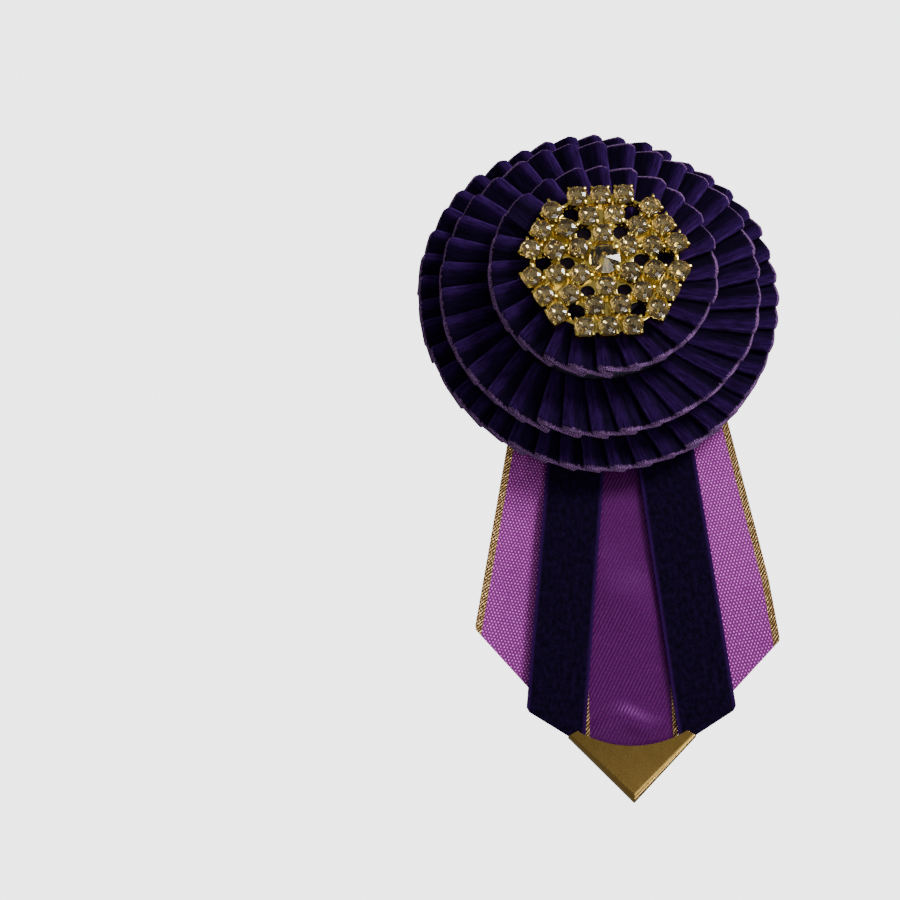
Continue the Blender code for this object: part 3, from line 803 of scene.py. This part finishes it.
def makeTip():
    low, high = tipLow / mm, tipHigh / mm
    half = (high.x - low.x) / 2
    slope = (tipShape["cornerZ"] - low.z) / half
    tip = addCube((-half, low.y, low.z), (half, high.y, high.z))
    for side in (-1, 1):
        sliceAway(tip, (0, 0, low.z), (side * slope, 0, -1.0))

    def onFold(edge):  # the slanting edges that run down to the point
        run = edge.verts[0].co - edge.verts[1].co
        way = run.normalized()
        return abs(run.y) < 0.01 and abs(way.x) > 0.5 and abs(way.z) > 0.5

    bevelEdges(tip, onFold, tipShape["foldRadius"], 14)
    for side in (-1, 1):  # small slant between each ear and its corner
        sliceAway(tip, (side * half, 0, tipShape["cornerZ"]), (side * 0.47, 0, 0.88))
    sagitta = high.z - tipShape["arcLow"]
    radius = (tipShape["earX"] ** 2 + sagitta ** 2) / (2 * sagitta)
    middle = tipShape["arcLow"] + radius
    cutAway(tip, addBar(radius, (0, low.y - 2, middle), (0, high.y + 2, middle), 160))
    wall = tipShape["wall"]
    inside = low.z + wall * hypot(1.0, slope)
    pocket = addCube((-half + wall, low.y + wall, low.z), (half - wall, high.y - wall, high.z + 4))
    for side in (-1, 1):
        sliceAway(pocket, (0, 0, inside), (side * slope, 0, -1.0))
    cutAway(tip, pocket)
    tidyFaces(tip)
    roundEdges(tip, 0.10, 2, 40)
    tip.scale = (mm, mm, mm)
    tip.location = (tailX * mm, 0, 0)
    settle(tip, "brassTip")
    bpy.ops.object.shade_flat()  # the folded sheet is flat between its rounded edges
    giveMaterial(tip, tipBrass)
    standFor(tip, "tail_tip", "tails")


makeTip()
print("tip folded")


brooch = {
    "turn": 1.4, "sectors": 6, "plateCorner": (12.4, 4.1), "plateDepths": (-21.0, -21.7),
    "openings": ((6.1, 1.25), (10.1, 1.42), (13.3, 1.5)), "cupHalf": 1.64, "cupDeep": 1.15,
    "largeCupHalf": 2.45, "gemRadius": 1.78, "largeGemRadius": 2.66, "prong": 0.24, "shank": 1.4,
    "shankRear": -17.8, "link": 0.42, "linkHalf": 1.5, "linkAt": 12.0,
    # sides of a stone, then the rise, share and turn of each step of its crown and base
    "gem": (16, ((0.20, 0.82, 11), (0.13, 0.62, 11)), ((0.42, 0.55, 11), (0.30, 0.12, 0))),
    "starGem": (12, ((0.36, 0.05, 0),), ((0.62, 0.05, 15),)),
}
centreLow, centreHigh = nodeBox("crystal_centre")
broochMiddle = ((centreLow.x + centreHigh.x) / 2 / mm, (centreLow.z + centreHigh.z) / 2 / mm)


def gemPlaces():  # node, place across and up, the way its sector points, and whether it is the large one
    places = [("crystal_centre", broochMiddle[0], broochMiddle[1], radians(90 + brooch["turn"]), True)]
    for sector in range(brooch["sectors"]):
        outwards = radians(90 + brooch["turn"] - 60 * sector)
        for number in range(1, 7):
            node = f"crystal_{'abcdef'[sector]}{number}"
            low, high = nodeBox(node)
            middle = (low + high) / 2 / mm
            places.append((node, middle.x, middle.z, outwards, False))
    return places


def makeGem(name):  # unit gem, table towards -Y, girdle at y = 0
    sides, crown, base = brooch[name]
    clearSelection()
    bpy.ops.mesh.primitive_cylinder_add(vertices=sides, radius=1.0, depth=0.10)
    gem = bpy.context.object
    for way, steps in ((1, crown), (-1, base)):
        selectParts(gem, "FACE", lambda face: face.normal.z * way > 0.9)
        for rise, share, turn in steps:
            extrude((0, 0, way * rise), (share, share, 1.0), turn)
        leaveEdit()
    selectParts(gem, "FACE", lambda face: len(face.verts) == 4)
    bpy.ops.mesh.quads_convert_to_tris()
    leaveEdit()
    gem.rotation_euler = (radians(90), 0, 0)
    settle(gem, name)
    giveMaterial(gem, crystalGlass, crystalFoil)
    for face in gem.data.polygons:
        face.material_index = 1 if face.center.y > 0.07 else 0
    return gem


def copyPiece(source, name):
    piece = source.copy()
    piece.data = source.data.copy()
    piece.name = name
    piece.data.name = name
    addToScene(piece)
    return piece


def makeClawCup():  # open square cup with a prong bent over at each corner, the stone's side towards -Y
    half, deep = brooch["cupHalf"], brooch["cupDeep"]
    cup = addCube((-half, -deep, -half), (half, 0.0, half))
    bevelEdges(cup, alongDepth, 0.75, 2)
    selectParts(cup, "FACE", lambda face: face.normal.y < -0.9)
    bpy.ops.mesh.inset(thickness=0.20, depth=0.0)
    bpy.ops.mesh.extrude_region_move(TRANSFORM_OT_translate={"value": (0, 1.0, 0)})
    leaveEdit()
    pieces = [cup]
    for corner in range(4):
        turn = radians(45 + 90 * corner)
        away, reach = Vector((cos(turn), 0, sin(turn))), half * 1.27
        prong = addBar(brooch["prong"] * 1.15, away * reach + Vector((0, -0.1, 0)),
                       away * reach + Vector((0, -deep - 0.25, 0)), 7, brooch["prong"])
        for inwards, forwards, thinner in ((0.12, 0.30, 1.05), (0.24, 0.16, 0.85), (0.16, 0.03, 0.50)):
            selectParts(prong, "FACE", lambda face: len(face.verts) == 7
                        and face.calc_center_median().y < -deep)
            extrude(tuple(-away * inwards + Vector((0, -forwards, 0))), (thinner, thinner, thinner))
            leaveEdit()
        pieces.append(prong)
    return joinAll(pieces, "clawCup")


def makePlate():  # six-armed plate, a notch between each two arms and round openings behind the notches
    rear, front = brooch["plateDepths"]
    reach = hypot(*brooch["plateCorner"])
    plate = addBar(reach, (0, rear, 0), (0, front, 0), 12)
    corners = []
    for sector in range(brooch["sectors"]):
        for side in (-1, 1):
            corners.append(radians(90 + brooch["turn"] + 60 * sector)
                           + side * atan2(brooch["plateCorner"][1], brooch["plateCorner"][0]))
    for vert in plate.data.vertices:  # the twelve corners move to the arms' own angles
        angle = atan2(vert.co.z, vert.co.x) % (2 * pi)
        nearest = min(corners, key=lambda corner: abs((corner - angle + pi) % (2 * pi) - pi))
        vert.co.x, vert.co.z = reach * cos(nearest), reach * sin(nearest)
    for sector in range(brooch["sectors"]):
        between = radians(120 + brooch["turn"] + 60 * sector)
        for distance, radius in brooch["openings"]:
            x, z = distance * cos(between), distance * sin(between)
            cutAway(plate, addBar(radius, (x, rear + 1, z), (x, front - 1, z), 20))
    tidyFaces(plate)
    roundEdges(plate, 0.12, 2, 40)
    return plate


def makeLinks():  # short round links that join neighbouring arms beside the openings
    links = []
    for sector in range(brooch["sectors"]):
        between = radians(120 + brooch["turn"] + 60 * sector)
        middle = Vector((cos(between), 0, sin(between))) * brooch["linkAt"]
        sideways = Vector((-sin(between), 0, cos(between))) * brooch["linkHalf"]
        depth = Vector((0, brooch["plateDepths"][1] - 0.25, 0))
        bar = addBar(brooch["link"], middle - sideways + depth, middle + sideways + depth, 10)
        roundEdges(bar, 0.2, 2, 50)
        links.append(bar)
    return links


def makeBrooch():
    front = brooch["plateDepths"][1]
    cup = makeClawCup()
    gem, pointedGem = makeGem("gem"), makeGem("starGem")
    castings = [makePlate()] + makeLinks()
    rear = brooch["plateDepths"][0] - 0.1
    castings.append(addBar(brooch["shank"], (0, brooch["shankRear"], 0), (0, rear, 0), 24))
    for piece in castings:
        piece.data.transform(Matrix.Translation((broochMiddle[0], 0, broochMiddle[1])))
    for node, x, z, outwards, large in gemPlaces():
        scale = brooch["largeCupHalf"] / brooch["cupHalf"] if large else 1.0
        radius = brooch["largeGemRadius"] if large else brooch["gemRadius"]
        seat = copyPiece(cup, "cup_" + node)
        turn = Matrix.Rotation(-outwards, 4, "Y")
        seat.data.transform(Matrix.Translation((x, front + 0.15, z)) @ turn
                            @ Matrix.Diagonal((scale, 1.0 + (scale - 1) * 0.5, scale, 1.0)))
        castings.append(seat)
        stone = copyPiece(pointedGem if large else gem, "stone_" + node)
        girdle = front - brooch["cupDeep"] * (1.30 if large else 1.12)
        spin = Matrix.Rotation(outwards * 3.1 + x, 4, "Y")
        tilt = Matrix.Rotation(0.05 * sin(7 * x + 3 * z), 4, "X")
        stone.data.transform(Matrix.Scale(mm, 4) @ Matrix.Translation((x, girdle, z)) @ tilt @ spin
                             @ Matrix.Scale(radius, 4))
        standFor(stone, node)
    casting = joinAll(castings, "broochCasting")
    casting.data.transform(Matrix.Scale(mm, 4))
    for pattern in (cup, gem, pointedGem):
        bpy.data.objects.remove(pattern, do_unlink=True)
    smoothBy(casting, 35)
    giveMaterial(casting, giltCasting)
    standFor(casting, "brooch_frame")


makeBrooch()
print("brooch set")

backing = {
    "feltRadius": 24.5, "feltThickness": 1.2, "cardRadius": 24.0, "cardRear": -1.5, "cardFront": -4.9,
    "slotTop": -14.0, "slotFront": -3.9, "windowHalf": (16.3, 2.9), "pinHeight": 9.0, "edgeWander": 0.12}
backBodies = {"pin_needle": "needle", "safety_catch": "catch"}


def finishPiece(piece, name, mat, node):
    piece.data.transform(Matrix.Scale(mm, 4))
    settle(piece, name)
    smoothBy(piece, 40)
    giveMaterial(piece, mat)
    standFor(piece, node, backBodies.get(node, "rosette"))
    return piece


def roundedBlock(low, high, radius):
    block = addCube(low, high)
    bevelEdges(block, alongDepth, radius, 3)
    return block


def makeFeltDisc():
    halfLength, halfWidth = backing["windowHalf"]
    height, radius = backing["pinHeight"], backing["feltRadius"]
    disc = addBar(radius, (0, 0, 0), (0, -backing["feltThickness"], 0), 160)
    for vert in disc.data.vertices:  # cut by hand, so the edge wanders a little
        angle = atan2(vert.co.z, vert.co.x)
        wander = sin(5 * angle + 0.4) + 0.6 * sin(13 * angle + 2.0) + 0.4 * sin(31 * angle)
        length = 1 + backing["edgeWander"] * wander / 2 / radius
        vert.co.x, vert.co.z = vert.co.x * length, vert.co.z * length
    low, high = (-halfLength, -3, height - halfWidth), (halfLength, 2, height + halfWidth)
    cutAway(disc, roundedBlock(low, high, 0.5))
    tidyFaces(disc)
    roundEdges(disc, 0.25, 3, 50)
    felt = finishPiece(disc, "feltDisc", backFelt, "felt_back")


def makeCardDisc():
    card = addBar(backing["cardRadius"], (0, backing["cardRear"], 0), (0, backing["cardFront"], 0), 160)
    reach = backing["cardRadius"] + 4
    cutAway(card, addCube((-reach, backing["slotFront"], -reach), (reach, 2, backing["slotTop"])))
    tidyFaces(card)
    roundEdges(card, 0.12, 2, 50)
    finishPiece(card, "cardDisc", stiffCard, "backing_card")


def makePad(name, node, radius, rear, front, hole=0.0):  # thick felt spacer with soft edges
    pad = addBar(radius, (0, rear, 0), (0, front, 0), 64)
    selectParts(pad, "FACE", lambda face: abs(face.normal.y) > 0.9)
    bpy.ops.mesh.inset(thickness=min(1.2, radius * 0.2), depth=0.0)
    leaveEdit()
    roundEdges(pad, 0.55, 4, 50)
    for vert in pad.data.vertices:
        angle = atan2(vert.co.z, vert.co.x)
        squeeze = 1 + 0.006 * sin(7 * angle + rear) + 0.004 * sin(17 * angle)
        vert.co.x, vert.co.z = vert.co.x * squeeze * 0.992, vert.co.z * squeeze * 0.992
    if hole:
        x, z = broochMiddle
        cutAway(pad, addBar(hole, (x, rear + 1, z), (x, front - 1, z), 24))
        tidyFaces(pad)
    finishPiece(pad, name, padFelt, node)


makeFeltDisc()
makeCardDisc()
makePad("lowerPad", "lower_pad", 20.2, -5.2, -9.2)
makePad("upperPad", "upper_pad", 16.2, -9.5, -16.3)
makePad("broochPad", "brooch_pad", 8.2, -16.6, -20.7, 1.8)
print("back, card and pads made")

pin = {
    "height": 9.0, "axis": 3.4, "barHalf": (16.0, 2.6), "barDepths": (-0.4, -1.2),
    "holes": (-6.0, 0.0, 6.0), "holeRadius": 0.7, "hingeX": 13.5, "ears": (1.2, 1.8), "earRadius": 1.4,
    "pivotRadius": 0.75, "wire": 0.45, "pointX": -14.8, "rivet": 0.45, "rivetHead": 0.9, "catchX": -12.4,
    # radius, bore, half its length, half its mouth, sides
    "catch": (1.9, 1.35, 1.2, 0.9, 40), "sleeve": (1.05, 0.78, 2.1, 0.7, 36)}


def makeTube(radius, bore, half, mouth, sides):  # the open-sided tubes of the catch
    height, axis = pin["height"], pin["axis"]
    start, end = pin["catchX"] - half, pin["catchX"] + half
    tube = addBar(radius, (start, axis, height), (end, axis, height), sides)
    cutAway(tube, addBar(bore, (start - 1, axis, height), (end + 1, axis, height), 32))
    cutAway(tube, addCube((start - 1, axis, height - mouth), (end + 1, axis + 5, height + mouth)))
    tidyFaces(tube)
    return tube, start, end


def makePinBase():
    height, axis = pin["height"], pin["axis"]
    halfLength, halfWidth = pin["barHalf"]
    rear, front = pin["barDepths"]
    bar = roundedBlock((-halfLength, front, height - halfWidth),
                       (halfLength, rear, height + halfWidth), 1.0)
    for x in pin["holes"]:
        cutAway(bar, addBar(pin["holeRadius"], (x, front - 1, height), (x, rear + 1, height), 20))
    tidyFaces(bar)
    pieces = [bar]
    radius, x = pin["earRadius"], pin["hingeX"]
    for side in (-1, 1):
        near, far = sorted((height + side * pin["ears"][0], height + side * pin["ears"][1]))
        ear = addCube((x - radius, rear - 0.2, near), (x + radius, axis + radius, far))
        bevelEdges(ear, lambda edge: min(vert.co.y for vert in edge.verts) > axis
                   and abs(edge.verts[0].co.z - edge.verts[1].co.z) > 0.1, radius * 0.98, 6)
        cutAway(ear, addBar(pin["pivotRadius"], (x, axis, near - 1), (x, axis, far + 1), 20))
        tidyFaces(ear)
        pieces.append(ear)
    catch, start, end = makeTube(*pin["catch"])
    stem = addCube((start, rear - 0.2, height - 1.0), (end, 1.75, height + 1.0))
    pieces += [catch, stem]
    base = joinAll(pieces, "pinBase")
    roundEdges(base, 0.10, 2, 45)
    finishPiece(base, "pinBase", pinSteel, "pin_base")


def makeNeedle():
    height, axis, x = pin["height"], pin["axis"], pin["hingeX"]
    eye = addBar(pin["earRadius"], (x, axis, height - 0.8), (x, axis, height + 0.8), 32)
    cutAway(eye, addBar(pin["pivotRadius"], (x, axis, height - 2), (x, axis, height + 2), 24))
    tidyFaces(eye)
    taperX = pin["pointX"] + 3.0
    shaft = addBar(pin["wire"], (x - 1.0, axis, height), (taperX, axis, height), 16)
    selectParts(shaft, "FACE", lambda face: face.normal.x < -0.9)
    for forwards, thinner in ((1.2, 0.72), (1.1, 0.55), (0.7, 0.25)):
        extrude((-forwards, 0, 0), (1.0, thinner, thinner))
    leaveEdit()
    needle = joinAll([eye, shaft], "needle")
    roundEdges(needle, 0.07, 2, 45)
    finishPiece(needle, "needle", pinSteel, "pin_needle")


def makeRivet():
    height, axis, x = pin["height"], pin["axis"], pin["hingeX"]
    reach = pin["ears"][1] + 0.3
    pieces = [addBar(pin["rivet"], (x, axis, height - reach - 0.1), (x, axis, height + reach + 0.1), 20)]
    for side in (-1, 1):
        near, far = height + side * reach, height + side * (reach + 0.4)
        head = addBar(pin["rivetHead"], (x, axis, near), (x, axis, far), 24)
        bevelEdges(head, lambda edge: all(side * (vert.co.z - height) > reach + 0.2
                                          for vert in edge.verts), 0.30, 4)
        pieces.append(head)
    finishPiece(joinAll(pieces, "rivet"), "rivet", pinSteel, "pin_rivet")


def makeSafetyCatch():
    height, axis = pin["height"], pin["axis"]
    sleeve, _, end = makeTube(*pin["sleeve"])
    tab = addCube((end - 0.6, axis - 0.6, height + 0.9), (end, axis + 0.6, height + 3.0))
    bevelEdges(tab, lambda edge: min(vert.co.z for vert in edge.verts) > height + 2.9
               and abs(edge.verts[0].co.x - edge.verts[1].co.x) > 0.1, 0.5, 4)
    catch = joinAll([sleeve, tab], "safetyCatch")
    roundEdges(catch, 0.05, 2, 45)
    finishPiece(catch, "safetyCatch", pinSteel, "safety_catch")


def makeStitches():  # thread loops through the bar's holes and over its edges
    height, halfWidth = pin["height"], pin["barHalf"][1]
    rear, front = pin["barDepths"]
    loops = []
    for x in pin["holes"]:
        for side in (-1, 1):
            for number in (-1, 1):
                clearSelection()
                bpy.ops.mesh.primitive_torus_add(major_segments=28, minor_segments=8, major_radius=1.0,
                                                 minor_radius=0.105, rotation=(0, radians(90), 0))
                loop = bpy.context.object
                loop.scale = (1.45, 1.0, 1.0)
                applyPlace()
                up = height + side * (halfWidth + 0.25) / 2
                middle = Vector((x + 0.20 * number, (rear + front) / 2, up))
                place = Matrix.Translation(middle) @ Matrix.Rotation(radians(5 * number * side), 4, "Y")
                loop.data.transform(place @ Matrix.Diagonal((1.3, 0.58, 1.42, 1.0)))
                loops.append(loop)
    stitches = joinAll(loops, "pinStitches")
    stitches.data.transform(Matrix.Scale(mm, 4))
    settle(stitches, "pinStitches")
    smoothBy(stitches, 60)
    giveMaterial(stitches, sewingThread)
    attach(stitches, "rosette")


makePinBase()
makeNeedle()
makeRivet()
makeSafetyCatch()
makeStitches()
print("pin made and sewn on")

studio = {
    "floorDrop": 260.0, "camera": (-15.0, -222.0, -89.7), "turn": (106.163, 0.105, 3.102), "lens": 52.0,
    "paper": 4.6, "floorPaper": 3.9, "ambient": 0.34,
    "lamps": (("keyLamp", (0.26, -0.32, 0.20), 0.14, 2.75),  # place, size and power
              ("fillLamp", (0.16, -0.52, -0.24), 0.26, 0.75),
              ("glintLeft", (-0.22, -0.50, 0.30), 0.03, 0.30),
              ("edgeLamp", (0.34, -0.14, -0.30), 0.10, 0.7),
              ("backLamp", (0.15, 0.50, 0.30), 0.35, 3.0))}


def makeStudio():
    clearSelection()
    bpy.ops.mesh.primitive_plane_add(size=8.0, location=(0, 0, cadBox[0][2] - studio["floorDrop"] * mm))
    floor = settle(bpy.context.object, "paleFloor")
    pale = newMaterial("paleFloor", Roughness=0.9, Base_Color=(0.9, 0.9, 0.9, 1.0),
                       Emission_Color=(1.0, 1.0, 1.0, 1.0), Emission_Strength=studio["floorPaper"])
    giveMaterial(floor, pale)
    floor.visible_diffuse = False  # the bright paper lights nothing
    floor.visible_glossy = False
    floor.visible_transmission = False
    world = bpy.context.scene.world or bpy.data.worlds.new("world")
    bpy.context.scene.world = world
    world.use_nodes = True
    nodes, links = world.node_tree.nodes, world.node_tree.links
    ambient = nodes["Background"]
    ambient.inputs[0].default_value = (0.96, 0.96, 1.0, 1.0)
    ambient.inputs[1].default_value = studio["ambient"]
    paper = nodes.new("ShaderNodeBackground")  # what the camera sees behind the piece
    paper.inputs[1].default_value = studio["paper"]
    rays, choice = nodes.new("ShaderNodeLightPath"), nodes.new("ShaderNodeMixShader")
    links.new(rays.outputs["Is Camera Ray"], choice.inputs[0])
    links.new(ambient.outputs[0], choice.inputs[1])
    links.new(paper.outputs[0], choice.inputs[2])
    links.new(choice.outputs[0], nodes["World Output"].inputs[0])
    for name, place, size, power in studio["lamps"]:
        data = bpy.data.lights.new(name, "AREA")
        data.size = size
        data.energy = power
        lamp = bpy.data.objects.new(name, data)
        lamp.location = place
        lamp.rotation_euler = (Vector((0, 0, -0.02)) - Vector(place)).to_track_quat("-Z", "Y").to_euler()
        addToScene(lamp)
    data = bpy.data.cameras.new("viewCamera")
    data.lens = studio["lens"]
    camera = bpy.data.objects.new("viewCamera", data)
    camera.location = Vector(studio["camera"]) * mm
    camera.rotation_euler = [radians(angle) for angle in studio["turn"]]
    addToScene(camera)
    bpy.context.scene.camera = camera


makeStudio()
print("studio lit")
